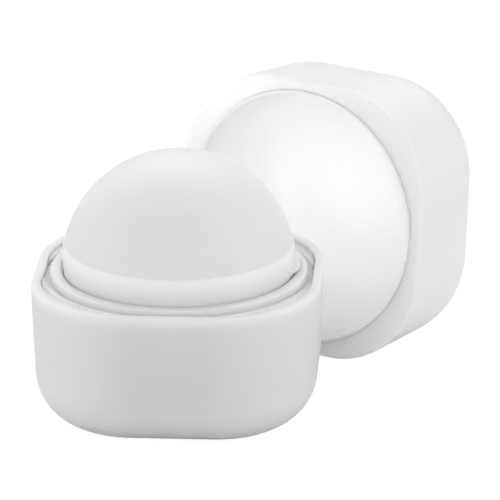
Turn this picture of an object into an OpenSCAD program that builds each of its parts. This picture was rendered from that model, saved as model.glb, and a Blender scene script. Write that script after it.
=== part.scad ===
// Cube shaped lip balm, opened: the base stands with its domed balm showing
// and the cap lies beside it, rocked back on the round of its closed end.
// Millimetres. The origin is the middle of the base's underside, +Z is up.

/* [Cube] */
// Width and depth of both halves at the joint line
cube_w = 38; // [36:0.5:60]
// Height of the base shell up to its rim
base_h = 18.9; // [17:0.1:30]
// Height of the cap
cap_h = 19.1; // [18.4:0.1:26]
// Radius of the upright corners in plan
corner_r = 13.6; // [11:0.1:15]
// Radius where the sides roll into the closed end
end_r = 7; // [3:0.1:8]
// Lean of the side walls, in degrees
draft_angle = 2; // [0.5:0.1:3]

/* [Shells] */
// Thickness of the side walls at the mouth
wall = 1.2; // [0.9:0.05:1.6]
// Thickness of the base's floor
floor_t = 1.8; // [1:0.1:3]
// Thickness of the cap's closed end
cap_end_t = 1.2; // [0.8:0.1:2]
// Radius of the opening's corners in plan
mouth_r = 13.6; // [10:0.1:14]
// Round on the outer edge of the base's rim
base_lip_r = 0.5; // [0.2:0.05:0.6]
// Round on the outer edge of the cap's mouth
cap_lip_r = 0.3; // [0.1:0.05:0.5]

/* [Fits] */
// Gap between a pushed in piece and the piece that holds it
fit_gap = 0.1; // [0.05:0.01:0.2]
// Running gap between the closed cap's liner and the neck ring
cap_gap = 0.3; // [0.2:0.05:0.5]
// Width of the open groove between the neck ring and the collar
groove_w = 0.3; // [0.2:0.05:0.5]
// Gap between the closed cap's liner and the wall of the well
well_gap = 0.2; // [0.1:0.05:0.4]
// Gap between the cap's liner and the round seat that holds it
seat_gap = 0.02; // [0.02:0.01:0.1]
// Gap between the balm's tip and the closed cap's end
tip_gap = 0.95; // [0.5:0.05:2]

/* [Neck insert] */
// How far the corner ledges lie below the rim
ledge_drop = 0.3; // [0.15:0.05:0.8]
// Thickness of the corner ledges
ledge_t = 1.3; // [0.8:0.1:2.4]
// Depth of the round well below the ledges
well_depth = 0.5; // [0.3:0.1:2]
// Thickness of the well's floor and of its outer wall
well_t = 1; // [0.6:0.1:1.6]
// Thickness of the upstanding neck ring
neck_wall = 1.45; // [1:0.05:1.6]
// How far the neck ring stands above the rim
neck_up = 0.38; // [0:0.02:0.42]
// Chamfer on the neck ring's edges
neck_edge = 0.2; // [0.05:0.01:0.25]
// Depth of the groove between the neck ring and the collar
groove_depth = 0.3; // [0.25:0.05:0.5]
// Outer radius of the foot that stands on the base's floor
foot_r = 11; // [8.5:0.1:11.4]
// Wall of the foot
foot_wall = 1; // [0.8:0.1:1.4]

/* [Balm and its holder] */
// Height of the collar's top above the base's rim
collar_up = 3.85; // [3:0.05:5]
// Wall of the collar and of its spigot
collar_wall = 1; // [0.8:0.05:1.4]
// Chamfer on the collar's top edge, up to the foot of the dome
collar_edge = 0.12; // [0.05:0.01:0.3]
// Thickness of the plate under the balm
plate_t = 1; // [0.6:0.1:1.6]
// Length of the spigot below the well's floor
spigot_down = 1.5; // [0.5:0.1:3]
// Number of anchor holes round the plate
anchor_n = 6; // [3:1:7]
// Radius of an anchor hole
anchor_r = 1.4; // [0.8:0.1:1.6]
// Distance of the anchor holes from the axis
anchor_at = 4.8; // [4:0.1:5]

/* [Thread] */
// How far the thread stands out of the collar
thread_out = 0.8; // [0.6:0.05:0.9]
// Height of the thread at its root
thread_h = 0.7; // [0.5:0.05:0.8]
// Height of the thread's start above the neck ring
thread_start_up = 0.4; // [0.4:0.05:0.8]
// Rise of the thread over one whole turn
thread_pitch = 1.3; // [0.8:0.1:1.6]
// Turn of the thread round the collar, in degrees
thread_turn = 208; // [90:1:300]
// Where the thread starts, in degrees from +X
thread_from = -20; // [-40:1:20]

/* [Cap corners] */
// Depth of the corner webs' sloping face beside the liner
slope_depth = 0.1; // [0.05:0.05:0.5]
// How far out from the liner's seat the sloping face reaches the rim
slope_reach = 1.2; // [0.8:0.1:1.5]
// Thickness of the corner webs under their sloping face
web_t = 1.1; // [0.6:0.1:1.5]
// Thickness of the web at the middle of a side, where it is thinnest
web_least = 0.1; // [0.1:0.02:0.3]

/* [Cap liner] */
// Wall of the liner at its rim
liner_wall = 0.4; // [0.3:0.05:0.6]
// How far the liner's rim stands out of the cap's mouth
liner_out = 0.1; // [0:0.02:0.2]
// Thickness of the liner's closed end
liner_end_t = 0.9; // [0.5:0.05:1.2]
// Depth of the moulding notch in the liner's rim
notch_depth = 0.3; // [0.1:0.05:0.6]
// Turn of the moulding notch round the rim, in degrees
notch_turn = 10; // [4:1:20]
// Inner round between the liner's wall and its closed end
bowl_r = 9; // [5:0.1:12]
// Lean of the liner's inner wall, in degrees
bowl_lean = 3; // [2:0.1:5]
// How far the lug that catches the thread stands in from the liner's wall
lug_in = 1.55; // [1.3:0.05:1.6]
// Depth of the lug's start below the cap's mouth
lug_depth = 0.8; // [0.78:0.02:0.9]
// Turn of the lug round the liner, in degrees
lug_turn = 70; // [30:1:80]
// Where the lug starts, in degrees from the cap's own X axis
lug_from = -60; // [-70:1:-40]
// How far the low rib stands in from the liner's wall
rib_in = 0.6; // [0.3:0.05:0.8]
// Height of the low rib at its root
rib_h = 0.9; // [0.5:0.05:1.2]
// Depth of the low rib below the cap's mouth
rib_depth = 5.4; // [4:0.1:7]
// Turn of the low rib round the liner, in degrees
rib_turn = 66; // [30:1:120]
// Where the low rib starts, in degrees from the cap's own X axis
rib_from = 62; // [50:1:90]

/* [Cap lying beside the base] */
// Distance from the base's axis to the cap's mouth
lie_dist = 24.8; // [24:0.1:60]
// Sideways offset of the lying cap
lie_side = 3; // [-10:0.1:10]
// Turn of the lying cap, in degrees
lie_yaw = -29.5; // [-60:0.5:60]
// Lean of the lying cap onto the round of its closed end, in degrees
lie_tilt = 4.3; // [3:0.1:8]

/* [Hidden] */
$fn = 96;
steps_per_turn = 72;
// A cut runs this far past the face that it opens
overrun = wall;

half = cube_w / 2;
core = half - corner_r;
mouth_half = half - wall;
mouth_core = mouth_half - mouth_r;
draft = tan(draft_angle);
lean = tan(bowl_lean);

// Radii of the closed fit, from the shell inwards
seat_r = mouth_half - web_least;
liner_r = seat_r - seat_gap;
liner_in_r = liner_r - liner_wall;
neck_r = liner_in_r - cap_gap;
neck_in_r = neck_r - neck_wall;
collar_r = neck_in_r - groove_w;
collar_in_r = collar_r - collar_wall;
well_r = liner_r + well_gap;
well_out_r = well_r + well_t;

ledge_z = base_h - ledge_drop;
well_z = ledge_z - well_depth;
insert_z = well_z - well_t;
insert_half = mouth_half - (base_h - insert_z) * draft - fit_gap;
insert_r = mouth_r - fit_gap;
neck_z = base_h + neck_up;
spigot_r = foot_r - foot_wall - fit_gap;

liner_end = cap_h - cap_end_t;
bowl_end = liner_end - liner_end_t;

collar_z = base_h + collar_up;
plate_z = well_z;
fill_z = plate_z + plate_t;
fill_depth = collar_z - fill_z;
tip_z = base_h + bowl_end - tip_gap;
dome_h = tip_z - collar_z;
dome_foot_r = collar_r - collar_edge;
dome_r = (dome_foot_r * dome_foot_r + dome_h * dome_h) / (2 * dome_h);
dome_z = tip_z - dome_r;

thread_z = neck_z + thread_start_up;
crest_share = 0.45;
// Turn over which a ridge rises to its crest, in degrees
ridge_ramp = 15;

// The lying cap touches the ground where its side rolls into the closed end
end_x = roll_x(corner_r, cap_h, end_r, draft_angle);
lie_z = (core + end_x) * cos(lie_tilt) + (cap_h - end_r) * sin(lie_tilt) + end_r;

// Place of the roll's centre, measured inwards from the mouth's radius
function roll_x(r, h, e, a) = r - (e + (h - e) * sin(a)) / cos(a);

// Middle of the liner's wall at a depth
function liner_mid_r(d) = liner_in_r + liner_wall / 2 - d * (lean + draft) / 2;

// One side of a drafted tub: closed end at zero, mouth at h, measured from the core square
module side_profile(r, h, e, lip) {
    cx = roll_x(r, h, e, draft_angle);
    tx = cx + e * cos(draft_angle);
    tz = e - e * sin(draft_angle);
    ex = r - lip * draft;
    union() {
        polygon([[0, 0], [cx, 0], [cx, e], [tx, tz], [ex, h - lip], [ex - lip, h], [0, h]]);
        intersection() {
            translate([cx, e]) circle(r = e);
            polygon([[0, 0], [r, 0], [r, tz], [tx, tz], [cx, e], [0, e]]);
        }
        if (lip > 0) intersection() {
            translate([ex - lip, h - lip]) circle(r = lip);
            translate([ex - lip, h - lip]) square(lip);
        }
    }
}

// A rounded square tub: a core block, four side slabs and four corner turns
module tub(c, r, h, e, lip) {
    translate([-c, -c, 0]) cube([2 * c, 2 * c, h]);
    for (k = [0:3]) rotate([0, 0, 90 * k]) {
        translate([c, c, 0]) rotate([90, 0, 0]) linear_extrude(2 * c) side_profile(r, h, e, lip);
        translate([c, c, 0]) rotate_extrude(angle = 90) side_profile(r, h, e, lip);
    }
}

// The space inside a shell, standing on its closed end's inner face
module hollow(h) {
    tub(mouth_core, mouth_r + overrun * draft, h + overrun, end_r - wall, 0);
}

// A plain rounded square plate with upright edges
module plate(c, r, h) {
    linear_extrude(h) union() {
        square([2 * (c + r), 2 * c], center = true);
        square([2 * c, 2 * (c + r)], center = true);
        for (x = [-c, c], y = [-c, c]) translate([x, y]) circle(r = r);
    }
}

// A round wall standing on zero
module tube(ro, ri, h) {
    difference() {
        cylinder(r = ro, h = h);
        translate([0, 0, -overrun]) cylinder(r = ri, h = h + 2 * overrun);
    }
}

// Half outline of a round bowl: rim at zero, closed end at h
module bowl_profile(r, h, e, a) {
    cx = roll_x(r, h, e, a);
    tx = cx + e * cos(a);
    tz = h - e + e * sin(a);
    union() {
        polygon([[0, 0], [r, 0], [tx, tz], [cx, h - e], [cx, h], [0, h]]);
        intersection() {
            translate([cx, h - e]) circle(r = e);
            polygon([[0, h], [r, h], [r, tz], [tx, tz], [cx, h - e], [0, h - e]]);
        }
    }
}

// A ridge that climbs round an upright wall, from its root out or in to its crest
module ridge(root, crest, h, pitch, from, turn) {
    n = ceil(steps_per_turn * turn / 360);
    rings = [for (i = [0:n]) let (
        a = from + turn * i / n,
        z = pitch * turn * i / n / 360,
        ramp = min(i, n - i) * turn / n / ridge_ramp,
        c = root + (crest - root) * max(min(1, ramp), crest_share),
        b = h / 2,
        t = b * crest_share
    ) [for (p = [[root, -b], [c, -t], [c, t], [root, b]])
        [p[0] * cos(a), p[0] * sin(a), z + p[1]]]];
    inward = crest < root;
    sides = len(rings[0]);
    walls = [for (i = [0:n - 1]) for (j = [0:sides - 1]) let (
        p = sides * i + j,
        q = sides * i + (j + 1) % sides
    ) [p, q, q + sides, p + sides]];
    ends = [
        [for (j = [sides - 1:-1:0]) j],
        [for (j = [0:sides - 1]) sides * n + j]
    ];
    polyhedron(
        points = [for (s = rings) for (p = s) p],
        faces = [for (f = concat(walls, ends)) inward ? [for (i = [len(f) - 1:-1:0]) f[i]] : f]
    );
}

// Anchor holes through the plate, or the balm that fills them
module anchors(extra) {
    translate([0, 0, plate_z - extra]) {
        cylinder(r = anchor_r, h = plate_t + 2 * extra);
        for (k = [0:anchor_n - 1]) rotate([0, 0, 360 * k / anchor_n])
            translate([anchor_at, 0, 0]) cylinder(r = anchor_r, h = plate_t + 2 * extra);
    }
}

// The lying place of anything drawn with the cap's mouth at zero and its closed end up
module lying() {
    translate([
        -lie_dist * sin(lie_yaw) + lie_side * cos(lie_yaw),
        lie_dist * cos(lie_yaw) + lie_side * sin(lie_yaw),
        lie_z
    ]) rotate([0, 0, lie_yaw]) rotate([-90 - lie_tilt, 0, 0]) children();
}

// Outer cup of the base, closed below
module base_shell() {
    color("white") difference() {
        tub(core, corner_r, base_h, end_r, base_lip_r);
        translate([0, 0, floor_t]) hollow(base_h - floor_t);
    }
}

// Pushed in piece: four corner ledges, the round well, the neck ring and a foot
module neck_insert() {
    insert_h = ledge_z - insert_z;
    ring_h = neck_z - well_z;
    color("white") union() {
        difference() {
            translate([0, 0, insert_z]) intersection() {
                plate(insert_half - insert_r, insert_r, insert_h);
                union() {
                    cylinder(r = well_out_r, h = insert_h);
                    translate([0, 0, insert_h - ledge_t]) cylinder(r = cube_w, h = ledge_t);
                }
            }
            translate([0, 0, well_z]) cylinder(r = well_r, h = well_depth + overrun);
            translate([0, 0, insert_z - overrun])
                cylinder(r = foot_r - foot_wall, h = well_t + 2 * overrun);
        }
        translate([0, 0, well_z]) rotate_extrude() polygon([
            [collar_r + fit_gap, 0],
            [neck_r, 0],
            [neck_r, ring_h - neck_edge],
            [neck_r - neck_edge, ring_h],
            [neck_in_r + neck_edge, ring_h],
            [neck_in_r, ring_h - neck_edge],
            [neck_in_r, ring_h - groove_depth],
            [collar_r + fit_gap, ring_h - groove_depth]
        ]);
        translate([0, 0, floor_t]) tube(foot_r, foot_r - foot_wall, insert_z - floor_t);
    }
}

// Collar that holds the balm, with its plate, its outside thread and its spigot
module balm_holder() {
    spigot_z = insert_z - spigot_down;
    color("white") difference() {
        union() {
            rotate_extrude() polygon([
                [0, plate_z],
                [collar_r, plate_z],
                [collar_r, collar_z - collar_edge],
                [dome_foot_r, collar_z],
                [collar_in_r, collar_z],
                [collar_in_r, fill_z],
                [0, fill_z]
            ]);
            translate([0, 0, spigot_z])
                tube(spigot_r, spigot_r - collar_wall, plate_z + plate_t / 2 - spigot_z);
            translate([0, 0, thread_z])
                ridge(collar_r - collar_wall / 2, collar_r + thread_out, thread_h,
                    thread_pitch, thread_from, thread_turn);
        }
        anchors(overrun);
    }
}

// The balm: a dome on the collar, a short plug inside it and its anchors
module balm() {
    color("gainsboro") union() {
        intersection() {
            translate([0, 0, dome_z]) sphere(r = dome_r);
            translate([0, 0, collar_z]) cylinder(r = dome_r + overrun, h = dome_h + overrun);
        }
        translate([0, 0, fill_z]) cylinder(r = collar_in_r, h = fill_depth);
        anchors(0);
    }
}

// Round seat for the liner: a sloping web in each corner of the cap's mouth
module corner_webs() {
    web_h = slope_depth + web_t;
    difference() {
        plate(core, corner_r - wall / 2, web_h);
        translate([0, 0, -overrun]) cylinder(r = seat_r, h = web_h + 2 * overrun);
        rotate_extrude() polygon([
            [0, -overrun],
            [0, slope_depth * (seat_r + slope_reach) / slope_reach],
            [seat_r + slope_reach, 0],
            [seat_r + slope_reach, -overrun]
        ]);
    }
}

// Outer cup of the cap, with the webs in its corners
module cap_shell() {
    color("white") lying() union() {
        translate([0, 0, cap_h]) mirror([0, 0, 1]) difference() {
            tub(core, corner_r, cap_h, end_r, cap_lip_r);
            translate([0, 0, cap_end_t]) hollow(cap_h - cap_end_t);
        }
        corner_webs();
    }
}

// Round inner cup of the cap, with its lug and its low rib
module cap_liner() {
    color("white") lying() union() {
        difference() {
            translate([0, 0, -liner_out]) rotate_extrude()
                bowl_profile(liner_r, liner_end + liner_out, bowl_r + liner_wall, draft_angle);
            translate([0, 0, -liner_out - overrun]) rotate_extrude()
                bowl_profile(liner_in_r + overrun * lean, bowl_end + liner_out + overrun,
                    bowl_r, bowl_lean);
            translate([0, 0, -liner_out - overrun]) rotate_extrude(angle = notch_turn)
                translate([liner_in_r - overrun, 0]) square([3 * overrun, overrun + notch_depth]);
        }
        translate([0, 0, lug_depth])
            ridge(liner_mid_r(lug_depth), liner_in_r - lug_in, thread_h, thread_pitch,
                lug_from, lug_turn);
        translate([0, 0, rib_depth])
            ridge(liner_mid_r(rib_depth), liner_in_r - rib_in, rib_h, thread_pitch,
                rib_from, rib_turn);
    }
}

base_shell();
neck_insert();
balm_holder();
balm();
cap_shell();
cap_liner();
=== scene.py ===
# %% [markdown]
# A cube shaped lip balm stands open on a pale floor: a rounded cube of white
# plastic that parts across the middle, a dome of balm on a round collar, and the
# cap lying beside it. This lesson dresses a part that was modelled in CAD. The
# first step loads that part, because every piece and light is placed from it.

# %% Load the part
import math
import bpy
import bmesh
from mathutils import Matrix, Vector

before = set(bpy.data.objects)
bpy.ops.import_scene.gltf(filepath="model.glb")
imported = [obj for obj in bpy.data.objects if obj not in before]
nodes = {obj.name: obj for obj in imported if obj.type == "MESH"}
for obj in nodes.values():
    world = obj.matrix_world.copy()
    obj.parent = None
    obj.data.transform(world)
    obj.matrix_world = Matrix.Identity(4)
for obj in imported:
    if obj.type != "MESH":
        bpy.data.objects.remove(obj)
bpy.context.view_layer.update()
MM = 0.001
print("nodes:", sorted(nodes))

# %% [markdown]
# The camera stands a little above the part and slightly to its right. A long lens
# keeps the cube's sides nearly parallel, as a product photographer likes them. Its
# place is written as an angle round the part and a height angle, which are easier
# to read than raw coordinates, and it is turned by a fraction of a degree of roll.
# The lights use the same two angles later.

# %% Place the camera
frame_px = 500
focal_px = 3916.569
sensor_mm = 36
lens_near = 10 * MM
camera_far = 520.060 * MM
camera_round_deg = 3.567
camera_up_deg = 19.596
camera_roll = math.radians(-0.179)
aim_right = 9.389 * MM
aim_up = 10.839 * MM
aim_height = 10 * MM


def direction(round_deg, up_deg):
    """Way to a place round the part, from its front, and up from the floor."""
    a, e = math.radians(round_deg), math.radians(up_deg)
    return Vector((math.sin(a) * math.cos(e), -math.cos(a) * math.cos(e), math.sin(e)))


def camera_axes(round_deg, up_deg):
    back = direction(round_deg, up_deg)
    a = math.radians(round_deg)
    right = Vector((math.cos(a), math.sin(a), 0))
    return right, back.cross(right), back


right, up, back = camera_axes(camera_round_deg, camera_up_deg)
rolled_right = math.cos(camera_roll) * right + math.sin(camera_roll) * up
rolled_up = -math.sin(camera_roll) * right + math.cos(camera_roll) * up
aim = Vector((0, 0, aim_height)) + aim_right * right + aim_up * up

lens = bpy.data.cameras.new("camera")
lens.sensor_width = sensor_mm
lens.lens = focal_px / frame_px * sensor_mm
lens.clip_start = lens_near
camera = bpy.data.objects.new("camera", lens)
turn = Matrix((rolled_right, rolled_up, back)).transposed().to_4x4()
camera.matrix_world = Matrix.Translation(aim + camera_far * back) @ turn
bpy.context.scene.collection.objects.link(camera)
bpy.context.scene.camera = camera
print("lens, mm:", round(lens.lens, 1), "far, mm:", round(camera_far / MM))

# %% [markdown]
# White plastic is first of all a white body colour with a clear gloss over it. The
# moulded shells are smooth, so their detail is very small. The first trace is a faint
# orange peel, which the plastic takes from the polished mould. Painting it on each
# piece would be slow, so one shared node group makes it from two sizes of noise, and
# each finish only says how high the waves are.

# %% Ripple of a polished mould
wave_size = 700.0
fine_share = 0.2
fine_times = 6.0
broad_detail = 2.0
fine_detail = 1.0

# Sockets of a Mix node, which differ between plain numbers and colours
mix_factor = 0
number_a, number_b, number_result = 2, 3, 0
colour_a, colour_b, colour_result = 6, 7, 2


def group_in(group, name, value):
    socket = group.interface.new_socket(name, in_out="INPUT", socket_type="NodeSocketFloat")
    socket.default_value = value


def group_out(group, name):
    group.interface.new_socket(name, in_out="OUTPUT", socket_type="NodeSocketFloat")


def make_ripple_group():
    """Height of a polished mould's faint waviness, on object coordinates."""
    group = bpy.data.node_groups.new("mould_ripple", "ShaderNodeTree")
    group_in(group, "Size", wave_size)
    group_in(group, "Fine share", fine_share)
    group_out(group, "Height")
    inside = group.nodes.new("NodeGroupInput")
    outside = group.nodes.new("NodeGroupOutput")
    place = group.nodes.new("ShaderNodeTexCoord")
    broad = group.nodes.new("ShaderNodeTexNoise")
    broad.inputs["Detail"].default_value = broad_detail
    fine = group.nodes.new("ShaderNodeTexNoise")
    fine.inputs["Detail"].default_value = fine_detail
    finer = group.nodes.new("ShaderNodeMath")
    finer.operation = "MULTIPLY"
    finer.inputs[1].default_value = fine_times
    both = group.nodes.new("ShaderNodeMix")
    link = group.links.new
    link(place.outputs["Object"], broad.inputs["Vector"])
    link(place.outputs["Object"], fine.inputs["Vector"])
    link(inside.outputs["Size"], broad.inputs["Scale"])
    link(inside.outputs["Size"], finer.inputs[0])
    link(finer.outputs[0], fine.inputs["Scale"])
    link(inside.outputs["Fine share"], both.inputs[mix_factor])
    link(broad.outputs["Fac"], both.inputs[number_a])
    link(fine.outputs["Fac"], both.inputs[number_b])
    link(both.outputs[number_result], outside.inputs["Height"])
    return group


mould_ripple = make_ripple_group()
print("group:", mould_ripple.name)

# %% [markdown]
# The second trace is unevenness. Plastic that was melted and pressed is never quite
# one white, and fingers leave the gloss a little duller in places. A second group
# spreads two close values in soft patches, and it serves for colour as well as for
# gloss, so both vary without ever looking dirty.

# %% Soft patches of two close values
patch_size = 120.0
patch_detail = 4.0
noise_low, noise_high = 0.3, 0.7


def make_mottle_group():
    """Two close values spread in soft patches, for colour or gloss."""
    group = bpy.data.node_groups.new("soft_mottle", "ShaderNodeTree")
    group_in(group, "Size", patch_size)
    group_in(group, "Low", 0.0)
    group_in(group, "High", 1.0)
    group_out(group, "Value")
    inside = group.nodes.new("NodeGroupInput")
    outside = group.nodes.new("NodeGroupOutput")
    place = group.nodes.new("ShaderNodeTexCoord")
    patches = group.nodes.new("ShaderNodeTexNoise")
    patches.inputs["Detail"].default_value = patch_detail
    spread = group.nodes.new("ShaderNodeMapRange")
    spread.inputs["From Min"].default_value = noise_low
    spread.inputs["From Max"].default_value = noise_high
    link = group.links.new
    link(place.outputs["Object"], patches.inputs["Vector"])
    link(inside.outputs["Size"], patches.inputs["Scale"])
    link(patches.outputs["Fac"], spread.inputs["Value"])
    link(inside.outputs["Low"], spread.inputs["To Min"])
    link(inside.outputs["High"], spread.inputs["To Max"])
    link(spread.outputs["Result"], outside.inputs["Value"])
    return group


soft_mottle = make_mottle_group()
print("group:", soft_mottle.name)

# %% [markdown]
# Every finish starts from the same recipe: a body colour in soft patches, a satin
# gloss, a trace of ripple, and light that sinks a few millimetres into the plastic
# and comes out again. That last part is what tells plastic from painted metal,
# because it softens every edge and lets thin walls glow. A foot that stands in a
# narrow channel gets little light, so a last step paints that shade into its base colour.

# %% Recipe for a plastic finish
gloss_finer = 2
plastic_ior = 1.49
spread_alike = (1.0, 1.0, 1.0)


def new_finish(name):
    finish = bpy.data.materials.new(name)
    finish.use_nodes = True
    return finish, finish.node_tree, finish.node_tree.nodes["Principled BSDF"]


def add_group(tree, group, **values):
    """Place a shared group and set its inputs; an underscore stands for a space."""
    placed = tree.nodes.new("ShaderNodeGroup")
    placed.node_tree = group
    for name, value in values.items():
        placed.inputs[name.replace("_", " ")].default_value = value
    return placed


def tint(tree, shader, low, high, size):
    """Base colour between two close tones in soft patches."""
    mottle = add_group(tree, soft_mottle, Size=size, Low=0.0, High=1.0)
    tones = tree.nodes.new("ShaderNodeMix")
    tones.data_type = "RGBA"
    tones.inputs[colour_a].default_value = (*low, 1)
    tones.inputs[colour_b].default_value = (*high, 1)
    tree.links.new(mottle.outputs["Value"], tones.inputs[mix_factor])
    tree.links.new(tones.outputs[colour_result], shader.inputs["Base Color"])


def gloss(tree, shader, low, high, size):
    """Roughness between two close values in soft patches."""
    mottle = add_group(tree, soft_mottle, Size=size, Low=low, High=high)
    tree.links.new(mottle.outputs["Value"], shader.inputs["Roughness"])


def ripple(tree, shader, height_mm):
    """A bump of the mould's waviness, this high."""
    wave = add_group(tree, mould_ripple, Size=wave_size, Fine_share=fine_share)
    bump = tree.nodes.new("ShaderNodeBump")
    bump.inputs["Strength"].default_value = 1.0
    bump.inputs["Distance"].default_value = height_mm * MM
    tree.links.new(wave.outputs["Height"], bump.inputs["Height"])
    tree.links.new(bump.outputs["Normal"], shader.inputs["Normal"])


def make_plastic(name, tones, rough, patches, deep, deep_mm=1, blue=1, ripple_mm=0.002):
    """A white plastic or wax: deep is how much of its light travels inside."""
    finish, tree, shader = new_finish(name)
    low, high = ((tone, tone, tone * blue) for tone in tones)
    tint(tree, shader, low, high, patches)
    gloss(tree, shader, *rough, patches * gloss_finer)
    ripple(tree, shader, ripple_mm)
    shader.inputs["IOR"].default_value = plastic_ior
    shader.inputs["Subsurface Weight"].default_value = deep
    shader.inputs["Subsurface Radius"].default_value = spread_alike
    shader.inputs["Subsurface Scale"].default_value = deep_mm * MM
    return finish


def paint_foot_shade(finish, foot_mm, clear_mm, share):
    """Painted shade: base colour that falls to a share of itself towards the foot of a wall."""
    tree = finish.node_tree
    shader = tree.nodes["Principled BSDF"]
    tone = shader.inputs["Base Color"].links[0].from_socket
    place = tree.nodes.new("ShaderNodeTexCoord")
    parts = tree.nodes.new("ShaderNodeSeparateXYZ")
    rise = tree.nodes.new("ShaderNodeMapRange")
    rise.inputs["From Min"].default_value = foot_mm * MM
    rise.inputs["From Max"].default_value = clear_mm * MM
    rise.inputs["To Min"].default_value = share
    rise.inputs["To Max"].default_value = 1.0
    shaded = tree.nodes.new("ShaderNodeVectorMath")
    shaded.operation = "SCALE"
    tree.links.new(place.outputs["Object"], parts.inputs[0])
    tree.links.new(parts.outputs["Z"], rise.inputs["Value"])
    tree.links.new(tone, shaded.inputs[0])
    tree.links.new(rise.outputs["Result"], shaded.inputs["Scale"])
    tree.links.new(shaded.outputs["Vector"], shader.inputs["Base Color"])


print("recipe ready:", make_plastic.__name__)

# %% [markdown]
# The shells, the pushed in ring, the collar and the cap's liner are separate
# mouldings, and their whites differ a little: the base is the greyest and the thin
# liner the brightest. Part of that is painted light: the base's grey partly paints
# the shade that falls on its front, and the liner's bright tone partly paints the glow
# of light that comes through the cap's thin wall. The balm is wax, softer in its gloss
# and a touch warmer. It touches the collar, and light that sank into both would be lost
# between them and leave a dark ring, so theirs stays at the surface. Six finishes give
# each piece its own tone.

# %% Finish every piece
finishes = {
    # Base tone: partly the moulding's own grey, partly painted shade of its front
    "base_shell": make_plastic(
        "base_white", tones=(0.822, 0.854), rough=(0.30, 0.36), patches=90, deep=1.0, deep_mm=3),
    "cap_shell": make_plastic(
        "cap_white", tones=(0.966, 0.993), rough=(0.30, 0.36), patches=90, deep=0.3, deep_mm=2.5),
    "neck_insert": make_plastic(
        "insert_white", tones=(0.910, 0.941), rough=(0.34, 0.42), patches=110, deep=1.0, deep_mm=3),
    "balm_holder": make_plastic(
        "collar_white", tones=(0.965, 0.995), rough=(0.34, 0.42), patches=110, deep=0.0),
    # Liner tone: partly the moulding's own white, partly a painted glow of light through the cap's
    # thin wall
    "cap_liner": make_plastic(
        "liner_white", tones=(0.975, 0.995), rough=(0.36, 0.44), patches=110, deep=0.8, deep_mm=2.5),
    "balm": make_plastic(
        "balm_wax", tones=(0.842, 0.864), rough=(0.42, 0.52), patches=160, deep=0.0,
        blue=0.99, ripple_mm=0.004),
}
# Painted shade: the collar's base colour darkens towards its foot in the narrow channel
paint_foot_shade(finishes["balm_holder"], foot_mm=19.3, clear_mm=22.0, share=0.8)

for name, finish in finishes.items():
    mesh = nodes[name].data
    mesh.materials.clear()
    mesh.materials.append(finish)
print("finishes:", len(finishes))

# %% [markdown]
# The floor is a plain white sweep. A camera sees it burnt out to white, as in a shop
# picture, but the part has to be lit by what a real pale table throws back. So the
# Light Path node asks who is looking: the camera gets a glow and a trace of shadow,
# and every other ray gets ordinary pale paint.

# %% Lay the floor
floor_half = 3.0
pale_paint = 0.8
shadow_paint = 0.12
camera_glow = 0.95

deck = bmesh.new()
bmesh.ops.create_grid(deck, x_segments=1, y_segments=1, size=floor_half)
floor_mesh = bpy.data.meshes.new("floor")
deck.to_mesh(floor_mesh)
deck.free()
floor = bpy.data.objects.new("floor", floor_mesh)
bpy.context.scene.collection.objects.link(floor)

floor_finish, tree, shader = new_finish("floor_pale")
shader.inputs["Roughness"].default_value = 1.0
shader.inputs["Specular IOR Level"].default_value = 0.0
shader.inputs["Emission Color"].default_value = (1, 1, 1, 1)
looker = tree.nodes.new("ShaderNodeLightPath")
paint = tree.nodes.new("ShaderNodeMix")
paint.data_type = "RGBA"
paint.inputs[colour_a].default_value = (pale_paint, pale_paint, pale_paint, 1)
paint.inputs[colour_b].default_value = (shadow_paint, shadow_paint, shadow_paint, 1)
glow = tree.nodes.new("ShaderNodeMath")
glow.operation = "MULTIPLY"
glow.inputs[1].default_value = camera_glow
tree.links.new(looker.outputs["Is Camera Ray"], paint.inputs[mix_factor])
tree.links.new(paint.outputs[colour_result], shader.inputs["Base Color"])
tree.links.new(looker.outputs["Is Camera Ray"], glow.inputs[0])
tree.links.new(glow.outputs[0], shader.inputs["Emission Strength"])
floor_mesh.materials.append(floor_finish)
print("floor, m across:", 2 * floor_half)

# %% [markdown]
# Soft studio light on white plastic comes from big bright walls, not from lamps. Here
# the world itself is that room: each patch is a broad glow round one direction, made
# from how squarely a ray points towards it. The brightest is high behind the part, so
# its edges shine. Lower ones in front and on both sides keep the front a calm grey.

# %% Light the room
patch_sharpness = 6.0
# Each patch of light: degrees round the part from its front, degrees up, strength
light_patches = (
    (0, 12, 1.709), (90, 12, 1.915), (225, 12, 0.707), (270, 12, 1.222), (315, 12, 0.248),
    (90, 52, 0.090), (180, 52, 2.432), (315, 52, 0.354),
)

bpy.context.scene.view_settings.view_transform = "Standard"
studio = bpy.data.worlds.new("studio")
bpy.context.scene.world = studio
studio.use_nodes = True
sky = studio.node_tree
looking = sky.nodes.new("ShaderNodeTexCoord")


def sky_math(operation, first, second):
    """A math step in the world; its second value is a number or another step."""
    step = sky.nodes.new("ShaderNodeMath")
    step.operation = operation
    sky.links.new(first, step.inputs[0])
    if isinstance(second, float):
        step.inputs[1].default_value = second
    else:
        sky.links.new(second, step.inputs[1])
    return step.outputs[0]


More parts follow.
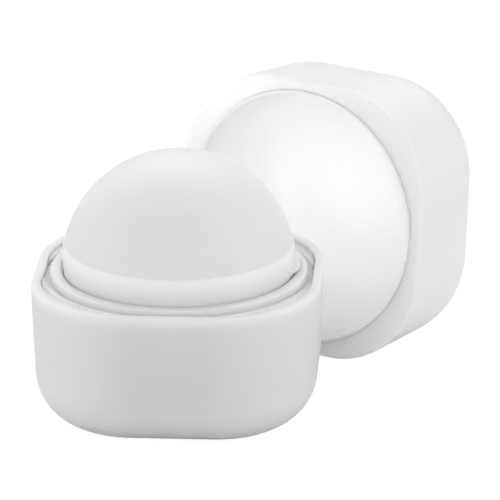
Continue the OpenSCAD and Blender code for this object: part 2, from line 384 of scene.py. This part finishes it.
def patch_of_light(round_deg, up_deg, strength):
    """A broad glow in the world round one direction."""
    facing = sky.nodes.new("ShaderNodeVectorMath")
    facing.operation = "DOT_PRODUCT"
    facing.inputs[1].default_value = direction(round_deg, up_deg)
    sky.links.new(looking.outputs["Generated"], facing.inputs[0])
    front = sky_math("MAXIMUM", facing.outputs["Value"], 0.0)
    soft = sky_math("POWER", front, patch_sharpness)
    return sky_math("MULTIPLY", soft, strength)


first_patch, *more_patches = light_patches
light_sum = patch_of_light(*first_patch)
for patch in more_patches:
    light_sum = sky_math("ADD", light_sum, patch_of_light(*patch))
sky.links.new(light_sum, sky.nodes["Background"].inputs["Strength"])
sky.nodes["Background"].inputs["Color"].default_value = (1, 1, 1, 1)
print("patches of light:", len(light_patches))

# %% [markdown]
# The cap's wall is thin, so on the real one the light behind it comes through and the
# bowl glows. Three small round lamps outside the mouth give the same look without making
# the plastic itself shine. One faces straight in on the left, one sits low and shines up,
# so the bottom of the bowl stays calm, and one stands further out for the rim's upper
# left. The camera's own rays pass through all three, so they stay out of the picture.

# %% Fill the open cap
cap_mouth = Vector((14.823, 20.107, 19.448)) * MM
cap_yaw = math.radians(-29.5)
cap_tilt = math.radians(4.3)
into_cap = Matrix.Rotation(cap_yaw, 4, "Z") @ Matrix.Rotation(-math.pi / 2 - cap_tilt, 4, "X")


def add_fill(name, across, down, outside, wide, milliwatts, climb=0):
    """A round lamp before the cap's mouth; climb turns its beam to the bowl's top."""
    lamp = bpy.data.lights.new(name, "AREA")
    lamp.shape = "DISK"
    lamp.size = wide * MM
    lamp.energy = milliwatts / 1000
    fill = bpy.data.objects.new(name, lamp)
    fill.visible_camera = False
    here = Matrix.Translation(Vector((across, down, -outside)) * MM)
    beam = Vector((0, -climb, 1)).to_track_quat("-Z", "Y").to_matrix().to_4x4()
    fill.matrix_world = Matrix.Translation(cap_mouth) @ into_cap @ here @ beam
    bpy.context.scene.collection.objects.link(fill)


add_fill("fill_left", across=-8, down=0, outside=1, wide=10, milliwatts=0.540)
add_fill("fill_low", across=0, down=5, outside=1, wide=10, milliwatts=0.900, climb=1)
add_fill("fill_rim", across=-9, down=-9, outside=12, wide=14, milliwatts=0.600)
print("lamps:", len(bpy.data.lights))
